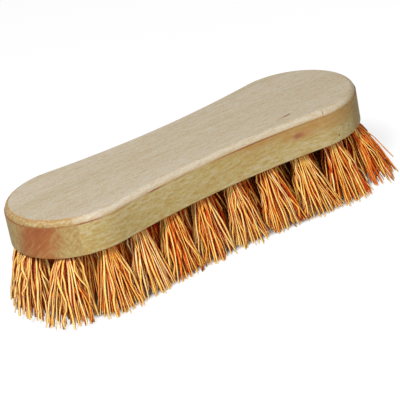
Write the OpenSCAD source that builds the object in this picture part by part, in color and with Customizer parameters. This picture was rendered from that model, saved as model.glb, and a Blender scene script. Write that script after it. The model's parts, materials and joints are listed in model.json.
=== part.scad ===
// Hand scrub brush: a waisted wooden block with tufts of coarse plant fibre.
// Millimetres. +Z is up and X runs along the block. The origin is the middle of the brush
// in the plane of the fibre tips, so the brush stands on its fibres.

/* [Block] */
// Length of the block
block_len = 216; // [190:1:250]
// Width of the block across each round end
end_w = 72; // [68:1:84]
// Width of the block at its waist
waist_w = 60; // [56:1:66]
// Thickness of the block
block_t = 21; // [18:0.5:30]
// Radius of the rounding along the top edge
edge_r = 3.3; // [1:0.1:6]
// How much of the top of that rounding is planed away
crest = 0.1; // [0.05:0.05:0.5]
// Width of the shoulder left under that rounding
shoulder_w = 0.4; // [0.1:0.1:1.5]
// Fall of that shoulder towards the edge
shoulder_fall = 0.2; // [0.1:0.05:1]
// Size of the bevel along the lower edge
lower_bevel = 0.5; // [0.1:0.1:2]

/* [Holes] */
// Diameter of the hole that holds a tuft
hole_d = 8; // [6:0.1:9]
// Depth of that hole
hole_depth = 12; // [9:0.5:14]
// Distance from the edge of the block to the outer ring of holes
edge_margin = 8; // [6.5:0.25:9]
// Distance from the outer ring of holes to the inner ring
ring_gap = 11; // [10:0.25:12]
// Number of tufts in the outer ring
outer_tufts = 22; // [16:2:24]
// Number of tufts in the inner ring
inner_tufts = 20; // [14:2:22]
// Number of tufts in the middle row
middle_tufts = 8; // [4:1:8]

/* [Fibres] */
// Free length of the fibres below the block
fibre_len = 36; // [25:1:50]
// Thickness of one fibre
fibre_t = 1.2; // [0.8:0.1:1.4]
// Number of fibres in each tuft
fibres = 9; // [6:1:10]
// How far the outermost tips reach past the long sides of the block
side_reach = 4.5; // [1:0.5:8]
// How far the outermost tips reach past the round ends of the block
end_reach = 10; // [2:0.5:14]
// Sideways swing of the waves in a fibre
wave = 0.45; // [0:0.05:0.6]

/* [Staples] */
// Width of the flat wire that the staples are bent from
wire_w = 1.6; // [1:0.1:2.2]
// Thickness of that wire
wire_t = 0.6; // [0.4:0.1:0.9]
// Thickness of the fold of fibres that each staple holds
fold_t = 3; // [2:0.5:5]
// How far the legs of a staple go into the wood above its hole
leg_bite = 4; // [2:0.5:6]
// Length of the point on each leg
point_len = 1.2; // [0.5:0.1:2]

/* [Clearances] */
// Gap between a tuft and the wall and floor of its hole
fibre_gap = 0.1; // [0.05:0.05:0.3]
// Gap between a staple and the wall of the hole
staple_gap = 0.2; // [0.1:0.05:0.5]
// Gap between a staple and the fibres and wood that it passes through
leg_gap = 0.05; // [0.02:0.01:0.1]
// Least space left between the tips of neighbouring tufts
tip_gap = 0.8; // [0.4:0.1:2]

/* [Hidden] */
$fa = 3;
$fs = 0.4;
// A cut runs this much past the face that it opens, and a piece this much into the one it joins
past = 1;

// The outline: two round ends joined by two hollow arcs, which meet them at a tangent
// The radius of the arcs is rounded to a hundredth
end_r = end_w / 2;
end_x = block_len / 2 - end_r;
half_waist = waist_w / 2;
waist_r = round(50 * (end_x ^ 2 + half_waist ^ 2 - end_r ^ 2) / (end_r - half_waist)) / 100;
waist_turn = asin(end_x / (waist_r + end_r));
waist_y = (waist_r + end_r) * cos(waist_turn);
end_turn = 90 + waist_turn;
// The arcs lie this much deeper, so that they cross the edge of the ends at a clear angle
seam_dip = 0.05;

// Heights above the plane of the tips
block_z = fibre_len;
top_z = block_z + block_t;
line_z = top_z - edge_r + crest;
hole_top_z = block_z + hole_depth;

// The tufts
plug_r = hole_d / 2 - fibre_gap;
root_r = plug_r - fibre_t;
root_sink = 1;
ring_insets = [edge_margin, edge_margin + ring_gap];
golden = 360 * (1 - 2 / (1 + sqrt(5)));
rings = 4;
sides = 3;

// The staples
staple_half = hole_d / 2 - staple_gap;
crown_z = hole_top_z - fold_t - wire_t;

function two_digits(n) = n < 10 ? str("0", n) : str(n);
function outer_name(i) = str("outer_tuft_", two_digits(i + 1));
function inner_name(i) = str("inner_tuft_", two_digits(i + 1));
function middle_name(i) = str("middle_tuft_", two_digits(i + 1));

// Lengths of a quarter of the outline moved in by inset: its hollow arc and its round end
function hollow_len(inset) = (waist_r + inset) * waist_turn * PI / 180;
function round_len(inset) = (end_r - inset) * end_turn * PI / 180;
function quarter_len(inset) = hollow_len(inset) + round_len(inset);

// Point and outward direction on that quarter, s along it from the waist to the tip of the end
function on_hollow(inset, turn) = [
    [(waist_r + inset) * sin(turn), (waist_r + inset) * cos(turn) - waist_y],
    [-sin(turn), -cos(turn)]];
function on_round(inset, turn) = [
    [end_x + (end_r - inset) * cos(turn), (end_r - inset) * sin(turn)],
    [cos(turn), sin(turn)]];
function on_quarter(inset, s) = s < hollow_len(inset)
    ? on_hollow(inset, s / hollow_len(inset) * waist_turn)
    : on_round(inset, (s - hollow_len(inset)) / round_len(inset) * end_turn - end_turn);

// The same all the way round, as four mirrored quarters
function flip(place, sx, sy) = [for (v = place) [sx * v[0], sy * v[1]]];
function on_ring(inset, s) = let (q = quarter_len(inset))
    s <= q ? on_quarter(inset, s)
    : s <= 2 * q ? flip(on_quarter(inset, 2 * q - s), 1, -1)
    : s <= 3 * q ? flip(on_quarter(inset, s - 2 * q), -1, -1)
    : flip(on_quarter(inset, 4 * q - s), -1, 1);

// Places of the tufts: each ring or row is half a pitch out of step with the next
function outer_pitch() = 4 * quarter_len(ring_insets[0]) / outer_tufts;
function inner_pitch() = 4 * quarter_len(ring_insets[1]) / inner_tufts;
function outer_place(i) = on_ring(ring_insets[0], (i + 0.5) * outer_pitch());
function inner_place(i) = on_ring(ring_insets[1], i * inner_pitch());
function middle_place(i) = [[(i - (middle_tufts - 1) / 2) * inner_pitch(), 0], [0, -1]];
function places() = concat(
    [for (i = [0:outer_tufts - 1]) outer_place(i)],
    [for (i = [0:inner_tufts - 1]) inner_place(i)],
    [for (i = [0:middle_tufts - 1]) middle_place(i)]);

// Half of what a fan of tips may take of a space, so that it stays clear of the next fan
function fan_half(space) = (space - fibre_t - tip_gap) / 2 - wave;

// Section of the block near its edge: the edge is at x = 0 and the wood runs w back from it
module edge_section(w) {
    polygon([
        [-w, block_z],
        [-lower_bevel, block_z],
        [0, block_z + lower_bevel],
        [0, line_z - shoulder_fall],
        [-shoulder_w, line_z],
        [-w, line_z]]);
    intersection() {
        translate([-w, block_z])
            square([w, block_t]);
        union() {
            translate([-shoulder_w - edge_r, line_z])
                circle(edge_r);
            translate([-w, line_z - lower_bevel])
                square([w - shoulder_w - edge_r, block_t]);
        }
    }
}

// Turns things to the seam where a hollow arc ends: the upright plane through the middle of the
// round end and the point where the two meet
module at_seam() {
    translate([end_x, 0, 0])
        rotate([0, 0, 90 - waist_turn])
            children();
}

// A round end is a whole disc
module round_end() {
    at_seam()
        rotate_extrude()
            intersection() {
                translate([end_r, 0])
                    edge_section(end_r + past);
                translate([0, block_z])
                    square([end_r, block_t]);
            }
}

// The wood along a hollow arc, from one seam to the other
module hollow_side() {
    at_seam()
        translate([-waist_r - end_r, 0, 0])
            rotate_extrude(angle = 2 * waist_turn)
                translate([waist_r + seam_dip, 0])
                    mirror([1, 0])
                        edge_section(end_r + past);
}

// Flat wire bent to a U, with pointed legs, or grown by gap all round for the room that it needs
module staple(gap) {
    outer = staple_half + gap;
    inner = staple_half - wire_t - gap;
    low = crown_z - gap;
    seat = crown_z + wire_t + gap;
    tip = hole_top_z + leg_bite + gap;
    rotate([90, 0, 0])
        linear_extrude(wire_w + 2 * gap, center = true)
            polygon([
                [-outer, low], [outer, low],
                [outer, tip], [inner, tip - point_len], [inner, seat],
                [-inner, seat], [-inner, tip - point_len], [-outer, tip]]);
}

// Hole for a tuft, with a slot for each leg of its staple
module tuft_hole() {
    slot = wire_t + 2 * leg_gap;
    translate([0, 0, block_z - past])
        cylinder(h = hole_depth + past, d = hole_d);
    for (side = [-1, 1])
        translate([side * (staple_half - wire_t / 2), 0, hole_top_z + (leg_bite - past) / 2])
            cube([slot, wire_w + 2 * leg_gap, leg_bite + past + 2 * leg_gap], center = true);
}

module block() {
    color("BurlyWood")
        difference() {
            union() {
                for (end = [0, 1])
                    mirror([end, 0, 0])
                        round_end();
                for (side = [0, 1])
                    mirror([0, side, 0])
                        hollow_side();
            }
            for (place = places())
                translate(place[0])
                    tuft_hole();
        }
}

// One wavy fibre: rings of three points, joined by triangles, with its tip cut level at z = 0
module fibre(root, tip, turn) {
    function axis(k) = let (down = k / (rings - 1), fan = down * (1.3 - 0.3 * down))
        root + (tip - root) * fan + wave * sin(180 * k * 2 / (rings - 1)) * [cos(turn), sin(turn)];
    function height(k) = (block_z + root_sink) * (1 - k / (rings - 1));
    points = [for (k = [0:rings - 1], c = [0:sides - 1])
        let (at = axis(k), way = turn + 360 * c / sides)
        [at[0] + fibre_t / 2 * cos(way), at[1] + fibre_t / 2 * sin(way), height(k)]];
    walls = [for (k = [0:rings - 2], c = [0:sides - 1], half = [0, 1])
        let (a = k * sides + c, b = k * sides + (c + 1) % sides)
        half == 0 ? [a, b, a + sides] : [b, b + sides, a + sides]];
    last = (rings - 1) * sides;
    polyhedron(points, concat([[2, 1, 0]], walls, [[last, last + 1, last + 2]]));
}

// A folded bundle that fills its hole, and its fibres fanned out below
// along and across are half the size of the fan, lean is how far its middle moves outwards
module tuft(place, along, across, lean, turn) {
    out = place[1];
    side = [-out[1], out[0]];
    color("SandyBrown")
        translate(place[0]) {
            difference() {
                translate([0, 0, block_z])
                    cylinder(h = hole_depth - fibre_gap, r = plug_r);
                staple(leg_gap);
            }
            for (j = [0:fibres - 1]) {
                r = sqrt((j + 0.5) / fibres);
                u = r * cos(turn + j * golden);
                v = r * sin(turn + j * golden);
                fibre(root_r * (u * side + v * out), along * u * side + (across * v + lean) * out,
                    turn + j * golden);
            }
        }
}

module outer_tuft(i) {
    place = outer_place(i);
    reach = side_reach + (end_reach - side_reach) * place[1][0] ^ 2;
    low = edge_margin + ring_gap / 2 - (fibre_t + tip_gap) / 2 - wave;
    high = -reach + fibre_t / 2;
    across = (low - high) / 2;
    lean = edge_margin - (low + high) / 2;
    widen = abs(place[0][0]) > end_x ? 1 + lean / (end_r - edge_margin) : 1;
    tuft(place, fan_half(outer_pitch()) * widen, across, lean, i * golden);
}

module inner_tuft(i) {
    across = fan_half(min(ring_gap, half_waist - ring_insets[1]));
    tuft(inner_place(i), fan_half(inner_pitch()), across, 0, i * golden);
}

module middle_tuft(i) {
    across = fan_half(half_waist - ring_insets[1]);
    tuft(middle_place(i), fan_half(inner_pitch()), across, 0, i * golden);
}

module staples() {
    color("Silver")
        for (place = places())
            translate(place[0])
                staple(0);
}

block();
for (i = [0:outer_tufts - 1])
    outer_tuft(i);
for (i = [0:inner_tufts - 1])
    inner_tuft(i);
for (i = [0:middle_tufts - 1])
    middle_tuft(i);
staples();
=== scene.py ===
import json
import math
import random

import bpy
from mathutils import Matrix, Vector

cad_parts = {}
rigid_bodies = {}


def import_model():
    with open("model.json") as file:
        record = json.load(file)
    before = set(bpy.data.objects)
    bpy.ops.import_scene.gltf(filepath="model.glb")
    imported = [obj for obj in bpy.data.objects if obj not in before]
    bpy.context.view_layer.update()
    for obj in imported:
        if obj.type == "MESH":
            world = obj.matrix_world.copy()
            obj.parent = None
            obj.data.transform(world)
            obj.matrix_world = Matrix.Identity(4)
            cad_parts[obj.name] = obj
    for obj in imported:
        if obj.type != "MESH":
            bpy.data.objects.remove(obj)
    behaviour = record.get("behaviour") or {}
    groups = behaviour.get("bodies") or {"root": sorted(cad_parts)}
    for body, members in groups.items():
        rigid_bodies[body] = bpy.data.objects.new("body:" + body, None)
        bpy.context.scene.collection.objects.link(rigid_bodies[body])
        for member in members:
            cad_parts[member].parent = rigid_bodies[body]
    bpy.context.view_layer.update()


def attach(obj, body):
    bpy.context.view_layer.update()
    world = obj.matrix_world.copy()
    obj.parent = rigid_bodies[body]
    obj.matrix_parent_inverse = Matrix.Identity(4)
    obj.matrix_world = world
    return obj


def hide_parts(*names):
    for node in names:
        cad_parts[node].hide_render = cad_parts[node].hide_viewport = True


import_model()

MM = 0.001

# Sizes of the brush in millimetres, as in the part's source
BLOCK_LEN = 216.0
END_R = 36.0
END_X = BLOCK_LEN / 2 - END_R
WAIST_R = 399.0
WAIST_TURN = math.asin(END_X / (WAIST_R + END_R))
WAIST_Y = (WAIST_R + END_R) * math.cos(WAIST_TURN)
END_TURN = math.pi / 2 + WAIST_TURN
EDGE_MARGIN = 8.0
RING_GAP = 11.0
OUTER_TUFTS = 22
INNER_TUFTS = 20
MIDDLE_TUFTS = 8
BLOCK_Z = 36.0
HOLE_R = 4.0
HOLE_TOP = 48.0
LINE_Z = 53.8


def clear_selection():
    for o in bpy.context.view_layer.objects:
        o.select_set(False)
    bpy.context.view_layer.objects.active = None


def finish_piece(obj, name, material):
    """Name a modelled piece and its mesh, and give it its material."""
    obj.name = name
    obj.data.name = name
    obj.data.materials.clear()
    obj.data.materials.append(material)
    return obj


class Nodes:
    """A node tree with short calls for the nodes that the finishes share."""

    def __init__(self, tree):
        self.tree = tree

    def add(self, kind, **props):
        node = self.tree.nodes.new(kind)
        for key, value in props.items():
            setattr(node, key, value)
        return node

    def link(self, out, into):
        self.tree.links.new(out, into)

    def feed(self, socket, value):
        if isinstance(value, bpy.types.NodeSocket):
            self.link(value, socket)
        elif value is not None:
            socket.default_value = value

    def math(self, operation, a, b=None, clamp=False):
        node = self.add("ShaderNodeMath", operation=operation, use_clamp=clamp)
        self.feed(node.inputs[0], a)
        self.feed(node.inputs[1], b)
        return node.outputs[0]

    def times(self, product, *factors):
        for factor in factors:
            product = self.math("MULTIPLY", product, factor)
        return product

    def step(self, value, low, high, to_low=0.0, to_high=1.0):
        """A soft step: to_low below low, to_high above high."""
        node = self.add("ShaderNodeMapRange", interpolation_type="SMOOTHSTEP")
        for socket, v in zip(node.inputs[:5], (value, low, high, to_low, to_high)):
            self.feed(socket, v)
        return node.outputs[0]

    def noise(self, vector, scale, detail=2.0, rough=0.5):
        node = self.add("ShaderNodeTexNoise")
        self.feed(node.inputs["Vector"], vector)
        node.inputs["Scale"].default_value = scale
        node.inputs["Detail"].default_value = detail
        node.inputs["Roughness"].default_value = rough
        return node.outputs[0]

    def mapping(self, vector, rotation=(0, 0, 0), scale=(1, 1, 1)):
        node = self.add("ShaderNodeMapping")
        self.feed(node.inputs["Vector"], vector)
        node.inputs["Rotation"].default_value = rotation
        node.inputs["Scale"].default_value = scale
        return node.outputs[0]

    def mix(self, amount, a, b):
        """The colour a, covered with b by amount."""
        node = self.add("ShaderNodeMix", data_type="RGBA")
        node.clamp_factor = True
        self.feed(node.inputs[0], amount)
        self.feed(node.inputs[6], a)
        self.feed(node.inputs[7], b)
        return node.outputs[2]

    def ramp(self, value, stops):
        node = self.add("ShaderNodeValToRGB")
        self.feed(node.inputs[0], value)
        elements = node.color_ramp.elements
        while len(elements) < len(stops):
            elements.new(0.5)
        for element, (place, colour) in zip(elements, stops):
            element.position = place
            element.color = colour
        return node.outputs[0]

    def bump(self, height, strength, distance):
        node = self.add("ShaderNodeBump")
        node.inputs["Strength"].default_value = strength
        node.inputs["Distance"].default_value = distance
        self.feed(node.inputs["Height"], height)
        return node.outputs[0]


def srgb(r, g, b):
    """A colour read off as 0-255 values, made linear."""
    def lin(v):
        v /= 255.0
        return v / 12.92 if v <= 0.04045 else ((v + 0.055) / 1.055) ** 2.4
    return (lin(r), lin(g), lin(b), 1.0)


def new_material(name):
    """A new material, its node tree and its shader."""
    material = bpy.data.materials.new(name)
    material.use_nodes = True
    return material, Nodes(material.node_tree), material.node_tree.nodes["Principled BSDF"]


def spot_group():
    """A soft-edged mark: an ellipsoid around a point, its edge broken by noise."""
    tree = bpy.data.node_groups.new("wood_mark", "ShaderNodeTree")
    for name, kind in (("Vector", "NodeSocketVector"), ("Centre", "NodeSocketVector"),
                       ("Size", "NodeSocketVector"), ("Turn", "NodeSocketFloat"),
                       ("Soft", "NodeSocketFloat"), ("Wobble", "NodeSocketFloat")):
        tree.interface.new_socket(name, in_out="INPUT", socket_type=kind)
    tree.interface.new_socket("Mask", in_out="OUTPUT", socket_type="NodeSocketFloat")
    n = Nodes(tree)
    given = n.add("NodeGroupInput")
    result = n.add("NodeGroupOutput")
    away = n.add("ShaderNodeVectorMath", operation="SUBTRACT")
    n.link(given.outputs["Vector"], away.inputs[0])
    n.link(given.outputs["Centre"], away.inputs[1])
    turned = n.add("ShaderNodeVectorRotate", rotation_type="Z_AXIS")
    n.link(away.outputs[0], turned.inputs["Vector"])
    n.link(given.outputs["Turn"], turned.inputs["Angle"])
    scaled = n.add("ShaderNodeVectorMath", operation="DIVIDE")
    n.link(turned.outputs[0], scaled.inputs[0])
    n.link(given.outputs["Size"], scaled.inputs[1])
    length = n.add("ShaderNodeVectorMath", operation="LENGTH")
    n.link(scaled.outputs[0], length.inputs[0])
    ragged = n.noise(given.outputs["Vector"], 420.0, 2.0, 0.6)
    ragged = n.times(n.math("SUBTRACT", ragged, 0.5), given.outputs["Wobble"])
    reach = n.math("ADD", length.outputs["Value"], ragged)
    inner = n.math("SUBTRACT", 1.0, given.outputs["Soft"])
    mask = n.step(reach, inner, 1.0, 1.0, 0.0)
    n.link(mask, result.inputs["Mask"])
    return tree


WOOD_MARK = spot_group()


def wood_mark(n, vector, centre, size, soft=0.6, wobble=0.5, turn=0.0):
    """Where a mark lies on the wood, its centre and half sizes in millimetres."""
    node = n.add("ShaderNodeGroup", node_tree=WOOD_MARK)
    n.link(vector, node.inputs["Vector"])
    node.inputs["Centre"].default_value = [c * MM for c in centre]
    node.inputs["Size"].default_value = [s * MM for s in size]
    node.inputs["Turn"].default_value = turn
    node.inputs["Soft"].default_value = soft
    node.inputs["Wobble"].default_value = wobble
    return node.outputs["Mask"]


def hardwood():
    """Pale bare hardwood sawn along the grain, with reddish end grain and a heartwood streak."""
    material, n, shader = new_material("hardwood")
    place = n.add("ShaderNodeTexCoord").outputs["Object"]
    split = n.add("ShaderNodeSeparateXYZ")
    n.link(place, split.inputs[0])
    x, y, z = split.outputs
    normal = n.add("ShaderNodeSeparateXYZ")
    n.link(n.add("ShaderNodeNewGeometry").outputs["Normal"], normal.inputs[0])
    nz = n.math("ABSOLUTE", normal.outputs[2])
    level = n.math("SQRT", n.math("ADD", n.math("POWER", normal.outputs[0], 2.0),
                                  n.math("POWER", normal.outputs[1], 2.0)))
    # 1 where a side faces along the board, 0 where it faces across it
    endness = n.math("DIVIDE", n.math("ABSOLUTE", normal.outputs[0]), n.math("MAXIMUM", level, 0.02))
    below = n.step(z, (LINE_Z - 0.2) * MM, LINE_Z * MM, 1.0, 0.0)
    above = n.math("SUBTRACT", 1.0, below)

    # Grain: long streaks on a slightly turned, slowly bending board
    bend = n.noise(n.mapping(place, scale=(9, 22, 22)), 1.0, 1.0)
    board = n.mapping(place, rotation=(0, 0, math.radians(2.2)))
    lifted = n.add("ShaderNodeVectorMath", operation="ADD")
    n.link(board, lifted.inputs[0])
    push = n.add("ShaderNodeCombineXYZ")
    n.link(n.times(n.math("SUBTRACT", bend, 0.5), 0.006), push.inputs[1])
    n.link(n.times(n.math("SUBTRACT", bend, 0.5), 0.004), push.inputs[2])
    n.link(push.outputs[0], lifted.inputs[1])
    grain_place = lifted.outputs[0]
    streaks = n.noise(n.mapping(grain_place, scale=(24, 800, 800)), 1.0, 3.0, 0.62)
    pores = n.noise(n.mapping(grain_place, scale=(130, 2600, 2600)), 1.0, 2.0, 0.6)
    bands = n.noise(n.mapping(grain_place, scale=(5, 75, 75)), 1.0, 2.0, 0.5)
    speckle = n.noise(place, 1100.0, 2.0, 0.7)
    flecks = n.noise(n.mapping(grain_place, scale=(170, 820, 820)), 1.0, 3.0, 0.7)

    # The top and its round edge are a pale greyish beige with a painted sheen in it, the sides yellower
    pale = n.ramp(bands, [(0.30, srgb(190, 178, 152)), (0.50, srgb(199, 188, 166)),
                          (0.72, srgb(206, 196, 178))])
    tan = n.ramp(bands, [(0.28, srgb(180, 157, 90)), (0.50, srgb(189, 168, 104)),
                         (0.74, srgb(199, 181, 126))])
    colour = n.mix(below, pale, tan)
    # Less of that painted sheen where the round edge turns down to face outwards
    foot = n.times(above, n.step(nz, 0.10, 0.70, 0.45, 0.0))
    colour = n.mix(foot, colour, srgb(196, 170, 118))

    # At the ends the round edge cuts across the grain: cream, and orange-brown where it starts
    mottle = n.noise(n.mapping(place, scale=(700, 700, 500)), 1.0, 3.0, 0.65)
    on_round = n.times(above, n.step(nz, 0.965, 0.99, 1.0, 0.0))
    round_end = n.times(on_round, n.step(endness, 0.30, 0.62))
    cream = n.ramp(mottle, [(0.34, srgb(142, 96, 36)), (0.49, srgb(164, 130, 62)),
                            (0.64, srgb(192, 172, 122))])
    at_left = n.step(x, -0.03, 0.02, 1.0, 0.3)
    colour = n.mix(n.times(round_end, at_left, 0.95), colour, cream)
    rim = n.times(n.step(nz, 0.78, 0.93), n.step(nz, 0.975, 0.99, 1.0, 0.0))
    rim = n.times(rim, n.step(endness, 0.30, 0.60), n.step(mottle, 0.35, 0.62))
    colour = n.mix(n.times(rim, at_left, 0.75), colour, srgb(190, 128, 66))

    # Streaks, pores, a fine speckle and longer flecks over it all, the flecks stronger on the sides
    colour = n.mix(n.step(streaks, 0.50, 0.74, 0.0, 0.30), colour, srgb(172, 142, 94))
    colour = n.mix(n.step(streaks, 0.26, 0.46, 0.22, 0.0), colour, srgb(224, 212, 186))
    colour = n.mix(n.step(pores, 0.58, 0.80, 0.0, 0.32), colour, srgb(150, 118, 72))
    colour = n.mix(n.step(speckle, 0.48, 0.66, 0.0, 0.50), colour, srgb(194, 164, 96))
    colour = n.mix(n.step(speckle, 0.32, 0.48, 0.45, 0.0), colour, srgb(216, 202, 190))
    strong = n.math("ADD", n.times(below, 0.5), 0.5)
    colour = n.mix(n.times(n.step(flecks, 0.49, 0.64, 0.0, 0.72), strong), colour, srgb(180, 140, 72))
    colour = n.mix(n.times(n.step(flecks, 0.35, 0.49, 0.60, 0.0), strong), colour, srgb(208, 190, 160))

    # Heartwood: a brown streak under the line of the near side, widening towards the knot
    near = n.times(n.step(y, -0.020, -0.026), below)
    spread = n.step(x, 0.0, 0.075, 0.0022, 0.0080)
    depth = n.math("DIVIDE", n.math("SUBTRACT", 0.0537, z), spread)
    torn = n.noise(n.mapping(place, scale=(60, 300, 420)), 1.0, 3.0, 0.6)
    torn = n.times(n.math("SUBTRACT", torn, 0.5), 1.5)
    heart = n.step(n.math("ADD", depth, torn), 0.3, 1.5, 1.0, 0.0)
    reach = n.times(n.step(x, -0.016, 0.030), n.step(x, 0.078, 0.104, 1.0, 0.3))
    heart = n.times(heart, near, reach)
    colour = n.mix(n.times(heart, 0.60), colour, srgb(180, 128, 66))
    low_streak = wood_mark(n, place, (18, -31, 45.5), (46, 8, 1.6), 0.9, 0.9)
    colour = n.mix(n.times(low_streak, 0.35), colour, srgb(180, 136, 74))

    # Knot in that streak, with a paler ring round it
    ring = wood_mark(n, place, (52, -33.5, 48.6), (11, 7, 4.2), 0.7, 0.7)
    colour = n.mix(n.times(ring, 0.45), colour, srgb(188, 128, 78))
    knot = wood_mark(n, place, (50.8, -33.4, 48.3), (4.6, 7, 2.4), 0.85, 0.9)
    colour = n.mix(n.times(knot, 0.80), colour, srgb(154, 90, 66))

    # End grain: tan, with a red-brown patch and soft slanting growth lines towards the near side
    slant = n.mapping(place, rotation=(math.radians(-45), 0, 0))
    growth = n.noise(n.mapping(slant, scale=(60, 520, 110)), 1.0, 3.0, 0.6)
    growth_bands = n.noise(n.mapping(slant, scale=(20, 150, 30)), 1.0, 2.0, 0.5)
    growth = n.math("ADD", n.times(growth, 0.6), n.times(growth_bands, 0.4))
    red_wood = n.ramp(growth, [(0.34, srgb(148, 72, 36)), (0.50, srgb(160, 90, 46)),
                               (0.64, srgb(178, 127, 72))])
    tan_wood = n.ramp(mottle, [(0.32, srgb(163, 123, 70)), (0.50, srgb(177, 149, 93)),
                               (0.68, srgb(189, 169, 118))])
    torn_edge = n.noise(n.mapping(place, scale=(260, 260, 160)), 1.0, 3.0, 0.6)
    torn_edge = n.math("SUBTRACT", torn_edge, 0.5)
    across = n.math("ADD", n.math("ADD", y, n.times(z, 0.2)), n.times(torn_edge, 0.012))
    patch = n.times(n.step(across, -0.0195, -0.0115), n.step(across, 0.0000, 0.0110, 1.0, 0.0))
    end_colour = n.mix(n.times(patch, at_left, 0.95), tan_wood, red_wood)
    facing = n.math("ADD", endness, n.times(torn_edge, 0.10))
    end_mask = n.times(n.step(facing, 0.44, 0.50), below)
    end_mask = n.times(end_mask, n.step(nz, 0.75, 0.97, 1.0, 0.0))
    colour = n.mix(n.times(end_mask, 0.95), colour, end_colour)
    border = n.times(n.step(facing, 0.44, 0.47), n.step(facing, 0.47, 0.51, 1.0, 0.0))
    colour = n.mix(n.times(border, below, 0.25), colour, srgb(166, 124, 66))
    # An orange streak of it runs up over the line at the end of the board
    lick = wood_mark(n, place, (-106, 5, 54.2), (8, 2.6, 2.6), 0.9, 0.9)
    colour = n.mix(n.times(lick, 0.6), colour, srgb(204, 128, 62))

    # Line under the round edge: a painted shadow of its small shoulder with patchy burn in it, burnished
    # red-brown in places
    line = n.times(n.step(z, 0.0531, 0.0535), n.step(z, 0.0539, 0.0542, 1.0, 0.0))
    patchy = n.noise(n.mapping(place, scale=(30, 30, 1)), 1.0, 1.0)
    line_shade_and_burn = n.step(patchy, 0.40, 0.62, 0.5, 0.9)
    colour = n.mix(n.times(line, line_shade_and_burn), colour, srgb(160, 120, 66))
    red = n.math("ADD", wood_mark(n, place, (23, -31, 53.5), (24, 9, 3), 0.8, 0.5),
                 n.math("ADD", wood_mark(n, place, (-41, -31, 53.5), (8, 9, 3), 0.8, 0.5),
                        wood_mark(n, place, (-84, -34, 53.5), (12, 9, 3), 0.8, 0.5)))
    red = n.math("ADD", red, n.step(endness, 0.45, 0.75, 0.0, 0.8), clamp=True)
    thin_line = n.times(line, n.step(z, 0.0533, 0.0536))
    colour = n.mix(n.times(thin_line, red, 0.75), colour, srgb(134, 70, 36))

    # Small dark marks: a fleck on top, two pits and a split on the near side
    fleck = wood_mark(n, place, (52.6, -22.6, 57), (3.7, 0.75, 2), 0.55, 0.35, math.radians(-9))
    colour = n.mix(fleck, colour, srgb(112, 56, 30))
    halo = wood_mark(n, place, (48.5, -23.2, 57), (9, 1.7, 2), 0.95, 0.6, math.radians(-9))
    colour = n.mix(n.times(halo, 0.45), colour, srgb(176, 132, 92))
    pits = n.math("MAXIMUM", wood_mark(n, place, (83.2, -34.2, 42), (0.65, 1, 0.65), 0.5, 0.2),
                  wood_mark(n, place, (75.1, -35.8, 39.9), (0.55, 1, 1.1), 0.5, 0.2))
    colour = n.mix(n.times(pits, 0.8), colour, srgb(104, 84, 56))
    split_mark = wood_mark(n, place, (67.5, -34.6, 55.5), (0.45, 3.2, 3.4), 0.6, 0.3, math.radians(14))
    colour = n.mix(n.times(split_mark, 0.6), colour, srgb(140, 92, 50))

    n.link(colour, shader.inputs["Base Color"])
    rough = n.step(streaks, 0.3, 0.7, 0.55, 0.68)
    n.link(rough, shader.inputs["Roughness"])
    shader.inputs["Specular IOR Level"].default_value = 0.3
    relief = n.math("ADD", n.times(streaks, -0.6), n.times(pores, -0.5))
    relief = n.math("ADD", relief, n.times(n.math("MAXIMUM", pits, fleck), -1.5))
    n.link(n.bump(relief, 0.35, 0.00025), shader.inputs["Normal"])
    return material


def plant_fibre():
    """Coarse dry plant fibre. The UV map holds each fibre's own tone, and the way down to its tip."""
    material, n, shader = new_material("plant_fibre")
    uv = n.add("ShaderNodeSeparateXYZ")
    n.link(n.add("ShaderNodeUVMap", uv_map="fibre").outputs[0], uv.inputs[0])
    tone, down = uv.outputs[0], uv.outputs[1]
    place = n.add("ShaderNodeTexCoord").outputs["Object"]
    blotch = n.noise(n.mapping(place, scale=(700, 700, 110)), 1.0, 3.0, 0.6)
    value = n.math("ADD", tone, n.times(n.math("SUBTRACT", blotch, 0.5), 0.8))
    colour = n.ramp(value, [(0.02, srgb(186, 58, 12)), (0.20, srgb(226, 102, 28)),
                            (0.36, srgb(244, 156, 56)), (0.52, srgb(252, 204, 94)),
                            (0.76, srgb(255, 228, 136)), (1.00, srgb(255, 241, 180))])
    # A little darker at the root, painted shade under the block, with red-brown flecks of husk
    colour = n.mix(n.step(down, 0.0, 0.22, 0.35, 0.0), colour, srgb(160, 58, 14))
    husk = n.noise(n.mapping(place, scale=(900, 900, 160)), 1.0, 2.0, 0.7)
    colour = n.mix(n.step(husk, 0.58, 0.72, 0.0, 0.6), colour, srgb(150, 46, 14))
    # Its outline is painted a deep red, as shade between the fibres
    edge_on = n.add("ShaderNodeLayerWeight")
    edge_on.inputs["Blend"].default_value = 0.5
    colour = n.mix(n.step(edge_on.outputs["Facing"], 0.12, 0.58, 0.0, 0.95), colour, srgb(186, 36, 4))
    # So is the shade between fibres that lie close together
    depth = n.add("ShaderNodeAmbientOcclusion", samples=4, only_local=True)
    depth.inputs["Distance"].default_value = 0.0030
    colour = n.mix(n.step(depth.outputs["AO"], 0.44, 0.84, 0.97, 0.0), colour, srgb(198, 34, 3))
    # Cut ends are pale
    colour = n.mix(n.step(down, 0.965, 0.985, 0.0, 0.5), colour, srgb(250, 222, 160))
    n.link(colour, shader.inputs["Base Color"])
    n.link(n.step(blotch, 0.3, 0.7, 0.5, 0.7), shader.inputs["Roughness"])
    shader.inputs["Specular IOR Level"].default_value = 0.12
    lengthwise = n.noise(n.mapping(place, scale=(2600, 2600, 160)), 1.0, 2.0, 0.6)
    n.link(n.bump(lengthwise, 0.25, 0.0001), shader.inputs["Normal"])
    return material


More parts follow.
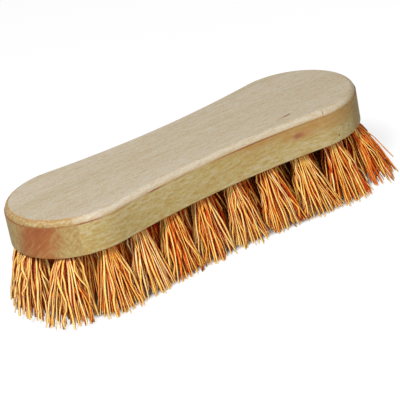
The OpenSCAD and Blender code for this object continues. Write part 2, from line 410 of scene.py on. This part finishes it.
def drawn_wire():
    """Flat steel wire with fine draw lines."""
    material, n, shader = new_material("drawn_wire")
    place = n.add("ShaderNodeTexCoord").outputs["Object"]
    lines = n.noise(n.mapping(place, scale=(700, 9000, 700)), 1.0, 2.0, 0.6)
    steel = n.ramp(lines, [(0.3, (0.42, 0.42, 0.43, 1)), (0.7, (0.62, 0.62, 0.63, 1))])
    n.link(steel, shader.inputs["Base Color"])
    shader.inputs["Metallic"].default_value = 1.0
    n.link(n.step(lines, 0.3, 0.7, 0.28, 0.45), shader.inputs["Roughness"])
    n.link(n.bump(lines, 0.3, 0.00005), shader.inputs["Normal"])
    return material


HARDWOOD = hardwood()
PLANT_FIBRE = plant_fibre()
DRAWN_WIRE = drawn_wire()


def quarter_lengths(inset):
    """Lengths of the hollow arc and the round end in a quarter of the outline moved in by inset."""
    return (WAIST_R + inset) * WAIST_TURN, (END_R - inset) * END_TURN


def on_quarter(inset, s):
    """Point and outward direction on that quarter, s along it from the waist."""
    hollow, round_ = quarter_lengths(inset)
    if s < hollow:
        turn = s / hollow * WAIST_TURN
        return ((WAIST_R + inset) * math.sin(turn), (WAIST_R + inset) * math.cos(turn) - WAIST_Y), \
               (-math.sin(turn), -math.cos(turn))
    turn = (s - hollow) / round_ * END_TURN - END_TURN
    return (END_X + (END_R - inset) * math.cos(turn), (END_R - inset) * math.sin(turn)), \
           (math.cos(turn), math.sin(turn))


def on_ring(inset, s):
    """The same all the way round, as four mirrored quarters."""
    quarter = sum(quarter_lengths(inset))
    sign = (1, 1)
    if s > 3 * quarter:
        s, sign = 4 * quarter - s, (-1, 1)
    elif s > 2 * quarter:
        s, sign = s - 2 * quarter, (-1, -1)
    elif s > quarter:
        s, sign = 2 * quarter - s, (1, -1)
    point, out = on_quarter(inset, s)
    return Vector((point[0] * sign[0], point[1] * sign[1])), Vector((out[0] * sign[0], out[1] * sign[1]))


OUTER_PITCH = 4 * sum(quarter_lengths(EDGE_MARGIN)) / OUTER_TUFTS
INNER_PITCH = 4 * sum(quarter_lengths(EDGE_MARGIN + RING_GAP)) / INNER_TUFTS


# Length of a fibre, from its root inside the hole down to the plane of the tips, and its thickness
FIBRE_LEN = BLOCK_Z + 1.5
FIBRE_T = 1.0
STEPS = 8


def only_uv_map(mesh):
    """Swap what UV maps a mesh has for the one that the fibre material reads."""
    while mesh.uv_layers:
        mesh.uv_layers.remove(mesh.uv_layers[0])
    return mesh.uv_layers.new(name="fibre")


def model_fibre(rng, bow, sway, kink):
    """One coarse fibre, drawn down from its root at the origin in short lengths.

    It bows out towards +X by bow, waves by sway and has a kink of that size, if any.
    """
    clear_selection()
    bpy.ops.mesh.primitive_circle_add(
        vertices=5, radius=FIBRE_T * MM / 2, fill_type="NGON", location=(0, 0, 0))
    fibre = bpy.context.object
    phase = rng.uniform(0, 2 * math.pi)
    turns = rng.uniform(0.7, 1.7)
    heading = rng.uniform(0, 2 * math.pi)
    bent_at = rng.randrange(2, STEPS - 1) if kink else -1
    points = []
    drift = Vector((0, 0))
    for k in range(STEPS + 1):
        t = k / STEPS
        wave = sway * (math.sin(phase + 2 * math.pi * turns * t) - math.sin(phase))
        side = 0.5 * sway * (math.sin(1.7 * phase + 2 * math.pi * turns * 1.6 * t) - math.sin(1.7 * phase))
        if k == bent_at:
            drift += Vector((rng.uniform(-1, 1), rng.uniform(-1, 1))) * kink
        if k > bent_at > 0:
            drift *= 0.9
        points.append(Vector((wave * math.cos(heading) - side * math.sin(heading),
                              wave * math.sin(heading) + side * math.cos(heading))) + drift)
    end = points[-1]
    points = [p - end * (k / STEPS) + Vector((bow * math.sin(math.pi * (k / STEPS) ** 0.8), 0))
              for k, p in enumerate(points)]
    bpy.ops.object.mode_set(mode="EDIT")
    bpy.ops.mesh.select_all(action="SELECT")
    width = 1.0
    for k in range(1, STEPS + 1):
        move = points[k] - points[k - 1]
        bpy.ops.mesh.extrude_region_move(
            TRANSFORM_OT_translate={"value": (move.x * MM, move.y * MM, -FIBRE_LEN / STEPS * MM)})
        target = rng.uniform(0.80, 1.15) * (1.0 if k < STEPS else 0.8)
        here = Vector((points[k].x, points[k].y, -FIBRE_LEN * k / STEPS)) * MM
        bpy.ops.transform.resize(value=(target / width, target / width, 1), center_override=here)
        width = target
    bpy.ops.mesh.select_all(action="SELECT")
    bpy.ops.mesh.normals_make_consistent(inside=False)
    bpy.ops.object.mode_set(mode="OBJECT")
    bpy.ops.object.shade_smooth_by_angle(angle=math.radians(80))
    mesh = fibre.data
    layer = only_uv_map(mesh)
    for loop in mesh.loops:
        layer.uv[loop.index].vector = (0.5, -mesh.vertices[loop.vertex_index].co.z / (FIBRE_LEN * MM))
    return fibre


def model_fold():
    """The folded bundle in a hole: a plug with rounded rims, cut out for its staple."""
    length, slack, top_slack, play = 11.4, 0.12, 0.15, 0.12
    clear_selection()
    bpy.ops.mesh.primitive_cylinder_add(vertices=20, radius=(HOLE_R - slack) * MM, depth=length * MM,
                                        location=(0, 0, (HOLE_TOP - top_slack - length / 2) * MM))
    fold = bpy.context.object
    bevel = fold.modifiers.new("rounding", "BEVEL")
    bevel.width = 0.5 * MM
    bevel.segments = 2
    bevel.limit_method = "ANGLE"
    bpy.ops.object.modifier_apply(modifier=bevel.name)
    # Room for the crown of the staple and for its two legs
    half, wire, wide = 3.8, 0.6, 1.6
    crown = HOLE_TOP - 3 - wire
    tips = HOLE_TOP + 4
    room = []
    for low, high, left, right in ((crown, crown + wire, -half, half),
                                   (crown, tips, -half, -half + wire), (crown, tips, half - wire, half)):
        clear_selection()
        bpy.ops.mesh.primitive_cube_add(size=1, location=((left + right) / 2 * MM, 0, (low + high) / 2 * MM))
        part = bpy.context.object
        part.scale = ((right - left + play) * MM, (wide + play) * MM, (high - low + play) * MM)
        bpy.ops.object.transform_apply(location=False, rotation=False, scale=True)
        room.append(part)
    for part in room:
        clear_selection()
        fold.select_set(True)
        bpy.context.view_layer.objects.active = fold
        cut = fold.modifiers.new("staple_room", "BOOLEAN")
        cut.operation = "DIFFERENCE"
        cut.solver = "EXACT"
        cut.object = part
        bpy.ops.object.modifier_apply(modifier=cut.name)
        bpy.data.objects.remove(part, do_unlink=True)
    clear_selection()
    fold.select_set(True)
    bpy.context.view_layer.objects.active = fold
    bpy.ops.object.transform_apply(location=True, rotation=True, scale=True)
    bpy.ops.object.shade_smooth_by_angle(angle=math.radians(40))
    for item in only_uv_map(fold.data).uv:
        item.vector = (0.25, 0.0)
    return fold


rng = random.Random(11)
# Straight, gently bowed and strongly bowed fibres, seven of each
FIBRES = [[model_fibre(rng, bow, sway, kink)
           for sway, kink in ((0.3, 0), (0.5, 0), (0.7, 0), (0.5, 0.7), (0.9, 0), (0.7, 1.1), (1.2, 0.9))]
          for bow in (0.0, 0.8, 1.6)]
FOLD = model_fold()


def copy_of(obj, matrix, tone):
    """A copy of a modelled form, moved and sheared by matrix, with its own tone."""
    mesh = obj.data.copy()
    mesh.transform(matrix)
    layer = mesh.uv_layers["fibre"]
    for item in layer.uv:
        item.vector = (tone, item.vector[1])
    copy = bpy.data.objects.new("copy", mesh)
    bpy.context.scene.collection.objects.link(copy)
    return copy


def drift_at(x):
    """How far use has swept the tips along the brush at x, both in millimetres."""
    table = ((-120, -2.5), (-84, -1.5), (-55, 0.3), (-10, 0.8), (22, 5.0), (60, 7.0), (90, 5.0), (120, 3.0))
    for (a, u), (b, v) in zip(table, table[1:]):
        if x <= b:
            return u + (v - u) * max(0.0, (x - a) / (b - a))
    return table[-1][1]


# Spacing of the places across a tuft, which keeps any number of them even
GOLDEN = 0.6180339887
# Share of the fibres that cross to the other side of their tuft
CROSSING = 0.08
# Greatest lift of the flared tips at the left and right end of the brush, in millimetres
LIFT_LEFT, LIFT_RIGHT = 16, 11
# Thin and thick fibres, as parts of FIBRE_T
THICKNESSES = (0.75, 0.95, 1.1, 1.2, 1.3, 1.5)
# Middle, spread and greatest of the tones
TONE, TONE_SPREAD, TONE_MOST = 0.58, 0.15, 0.86


def model_tuft(name, place, out, count, along, near, far, flare, rng, pale):
    """A tuft of fibres fanned out of its hole. near and far are how far its tips go outwards.

    flare is the share of its outer fibres that stand out from the end of the brush, tips lifted.
    """
    side = Vector((-out.y, out.x))
    pieces = [copy_of(FOLD, Matrix.Translation((place.x * MM, place.y * MM, 0)), 0.3)]
    sweep = drift_at(place.x)
    for j in range(count):
        # Tips spread evenly over a box, and roots over the hole in the same order
        a = ((j + 0.5) / count * 2 - 1)
        b = ((j * GOLDEN + rng.uniform(-0.06, 0.06)) % 1.0) * 2 - 1
        u, v = a * math.sqrt(1 - b * b / 2), b * math.sqrt(1 - a * a / 2)
        root = place + (u * side + v * out) * (HOLE_R - 0.8)
        u, v = (u + a) / 2, (v + b) / 2
        if rng.random() < CROSSING:
            u = -u * rng.uniform(0.2, 1.0)
        tip = place + u * along * side + (far * (1 + v) / 2 - near * (1 - v) / 2) * out
        tip += Vector((rng.gauss(0, 0.8), rng.gauss(0, 0.8)))
        tip.x += sweep
        low = abs(rng.gauss(0, 0.5))
        spread = (tip - root).length
        if spread > 9:
            low += (spread - 9) * 0.06
        if v > 0.2 and rng.random() < flare:
            low += (LIFT_LEFT if place.x < 0 else LIFT_RIGHT) * rng.random() ** 1.3
            tip = root + (tip - root) * rng.uniform(0.75, 1.0)
        if place.x < -END_X and v > 0:
            low += 4.0 * v * out.x ** 4
        drop = (FIBRE_LEN - low) / FIBRE_LEN
        thick = rng.choice(THICKNESSES) * rng.uniform(0.92, 1.08)
        way = tip - root
        lean = way / (FIBRE_LEN * drop)
        shear = Matrix(((1, 0, -lean.x, 0), (0, 1, -lean.y, 0), (0, 0, 1, 0), (0, 0, 0, 1)))
        bowed = 0 if spread < 6 or not flare else 1 if spread < 10 else 2
        turn = math.atan2(way.y, way.x) + rng.gauss(0, 0.4) if bowed else rng.uniform(0, 2 * math.pi)
        flat = Matrix.Diagonal((thick, thick * rng.uniform(0.8, 1.15), drop, 1))
        matrix = Matrix.Translation((root.x * MM, root.y * MM, FIBRE_LEN * MM)) @ shear @ \
            Matrix.Rotation(turn, 4, "Z") @ flat
        # Painted light and shade: fibres on the outer side of the tuft paler, those deeper in darker
        tone = min(TONE_MOST, max(0.0, rng.gauss(TONE + 0.16 * v + pale, TONE_SPREAD)))
        pieces.append(copy_of(rng.choice(FIBRES[bowed]), matrix, tone))
    clear_selection()
    for piece in pieces:
        piece.select_set(True)
    bpy.context.view_layer.objects.active = pieces[0]
    bpy.ops.object.join()
    return finish_piece(bpy.context.view_layer.objects.active, name, PLANT_FIBRE)


def set_tuft(node, place, out, count, along, near, far, flare, seed):
    """Put a modelled tuft in the place of a CAD one: paler to the left as painted light, darker inside and
    far right as painted shade.
    """
    rng = random.Random(seed)
    # Painted light towards the left, and a little random tone of its own
    pale = 0.05 * max(0.0, min(1.0, -(place.x + 40) / 50.0)) + rng.uniform(-0.03, 0.03)
    # Painted shade on the inner ring and the middle row, and at the far right
    if not node.startswith("outer"):
        pale -= 0.20
    if place.x > 75:
        pale -= 0.12
    tuft = model_tuft("fanned_" + node, place, out, count, along, near, far, flare, rng, pale)
    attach(tuft, "root")
    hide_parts(node)


# Fibres in one tuft of each ring and of the middle row
OUTER_FIBRES, INNER_FIBRES, MIDDLE_FIBRES = 84, 64, 56

for i in range(OUTER_TUFTS):
    place, out = on_ring(EDGE_MARGIN, (i + 0.5) * OUTER_PITCH)
    # 0 along the sides, rising towards the tips of the round ends
    at_end = max(0.0, (abs(place.x) - END_X) / END_R)
    reach = EDGE_MARGIN + 4.5 + (3.5 if place.x < 0 else 7.0) * out.x ** 2
    if out.y < 0:
        reach += (1.5 + 4.5 * min(1.0, at_end * 2)) * abs(out.y)
    elif place.x > 0:
        reach -= 6.5 * at_end * out.y + 1.0
    along = OUTER_PITCH / 2 + 1.2 + 3.0 * at_end
    flare = (0.5 if place.x < 0 else 0.3 if out.y < 0.3 else 0.1) * max(0.0, abs(out.x) - 0.3)
    set_tuft("outer_tuft_%02d" % (i + 1), place, out, OUTER_FIBRES, along, 5.0, reach, flare, 100 + i)
along = INNER_PITCH / 2 + 1.0
for i in range(INNER_TUFTS):
    place, out = on_ring(EDGE_MARGIN + RING_GAP, i * INNER_PITCH)
    set_tuft("inner_tuft_%02d" % (i + 1), place, out, INNER_FIBRES, along, 6.0, 6.5, 0, 200 + i)
for i in range(MIDDLE_TUFTS):
    place = Vector(((i - (MIDDLE_TUFTS - 1) / 2) * INNER_PITCH, 0))
    set_tuft("middle_tuft_%02d" % (i + 1), place, Vector((0, -1)), MIDDLE_FIBRES, along, 6.0, 6.0, 0, 300 + i)

for master in FIBRES[0] + FIBRES[1] + FIBRES[2] + [FOLD]:
    bpy.data.objects.remove(master, do_unlink=True)


def dress(node, material):
    """Give a CAD node that stays its finish."""
    obj = bpy.data.objects[node]
    for slot in obj.material_slots:
        slot.material = material


dress("block", HARDWOOD)
dress("staples", DRAWN_WIRE)


def seen_directly(n):
    """1 for rays that show the surface itself, its reflection or what lies behind glass."""
    path = n.add("ShaderNodeLightPath").outputs
    return n.math("MAXIMUM", path["Is Camera Ray"],
                  n.math("MAXIMUM", path["Is Glossy Ray"], path["Is Transmission Ray"]))


def pale_floor():
    """White paper that glows all round the brush and is in deep shade right under it."""
    clear_selection()
    bpy.ops.mesh.primitive_plane_add(size=6, location=(0, 0, 0))
    floor = bpy.context.object
    floor.name = "floor"
    material, n, shader = new_material("floor_paper")
    material.node_tree.nodes.remove(shader)
    paper = n.add("ShaderNodeBsdfDiffuse")
    paper.inputs["Color"].default_value = (0.30, 0.30, 0.30, 1)
    glow = n.add("ShaderNodeEmission")
    split = n.add("ShaderNodeSeparateXYZ")
    n.link(n.add("ShaderNodeTexCoord").outputs["Object"], split.inputs[0])
    # The shade has round ends and is wider there than at the waist, its sizes in metres
    past_right = n.math("SUBTRACT", split.outputs[0], END_X * MM)
    past_left = n.times(n.math("ADD", split.outputs[0], END_X * MM), -1.3)
    past_end = n.math("MAXIMUM", n.math("MAXIMUM", past_left, past_right), 0.0)
    away = n.math("SQRT", n.math("ADD", n.math("POWER", past_end, 2.0),
                                 n.math("POWER", split.outputs[1], 2.0)))
    widest = n.step(n.math("ABSOLUTE", split.outputs[0]), 0.0, END_X * MM, 0.0, 0.007)
    lit = n.math("MAXIMUM", n.step(n.math("SUBTRACT", away, widest), 0.026, 0.033), 0.03)
    n.link(n.times(seen_directly(n), lit, 0.80), glow.inputs["Strength"])
    both = n.add("ShaderNodeAddShader")
    n.link(paper.outputs[0], both.inputs[0])
    n.link(glow.outputs[0], both.inputs[1])
    n.link(both.outputs[0], material.node_tree.nodes["Material Output"].inputs["Surface"])
    floor.data.materials.append(material)


def white_world(strength):
    """White where it is seen, and a light of the given strength everywhere else."""
    world = bpy.data.worlds.new("studio")
    bpy.context.scene.world = world
    world.use_nodes = True
    n = Nodes(world.node_tree)
    sky = world.node_tree.nodes["Background"]
    sky.inputs["Color"].default_value = (1, 1, 1, 1)
    blend = n.add("ShaderNodeMapRange")
    n.link(blend.outputs[0], sky.inputs["Strength"])
    n.link(seen_directly(n), blend.inputs["Value"])
    blend.inputs["To Min"].default_value = strength
    blend.inputs["To Max"].default_value = 1.0


def soft_light(name, location, size, watts):
    """A round white light aimed at the middle of the brush."""
    data = bpy.data.lights.new(name, "AREA")
    data.shape = "DISK"
    data.size = size
    data.energy = watts
    lamp = bpy.data.objects.new(name, data)
    bpy.context.scene.collection.objects.link(lamp)
    lamp.location = location
    aim = Vector((0, 0, 0.03)) - Vector(location)
    lamp.rotation_euler = aim.to_track_quat("-Z", "Y").to_euler()


def photo_camera():
    """The camera that was fitted to the edges of the block in the photo."""
    data = bpy.data.cameras.new("camera")
    data.sensor_fit = "HORIZONTAL"
    data.sensor_width = 36.0
    data.lens = 194.207
    data.clip_end = 20.0
    camera = bpy.data.objects.new("camera", data)
    bpy.context.scene.collection.objects.link(camera)
    right = Vector((0.805472, -0.565586, -0.176996))
    up = Vector((0.371672, 0.249475, 0.894216))
    back = right.cross(up)
    turn = Matrix((right, up, back)).transposed().to_4x4()
    camera.matrix_world = Matrix.Translation((-0.534825, -0.915726, 0.499701)) @ turn
    bpy.context.scene.camera = camera


pale_floor()
white_world(0.15)
soft_light("key", (-0.93, -0.75, 1.33), 0.4, 26.3)
soft_light("fill", (-0.5, -1.4, 0.7), 0.8, 8.2)
photo_camera()
bpy.context.scene.view_settings.view_transform = "Standard"
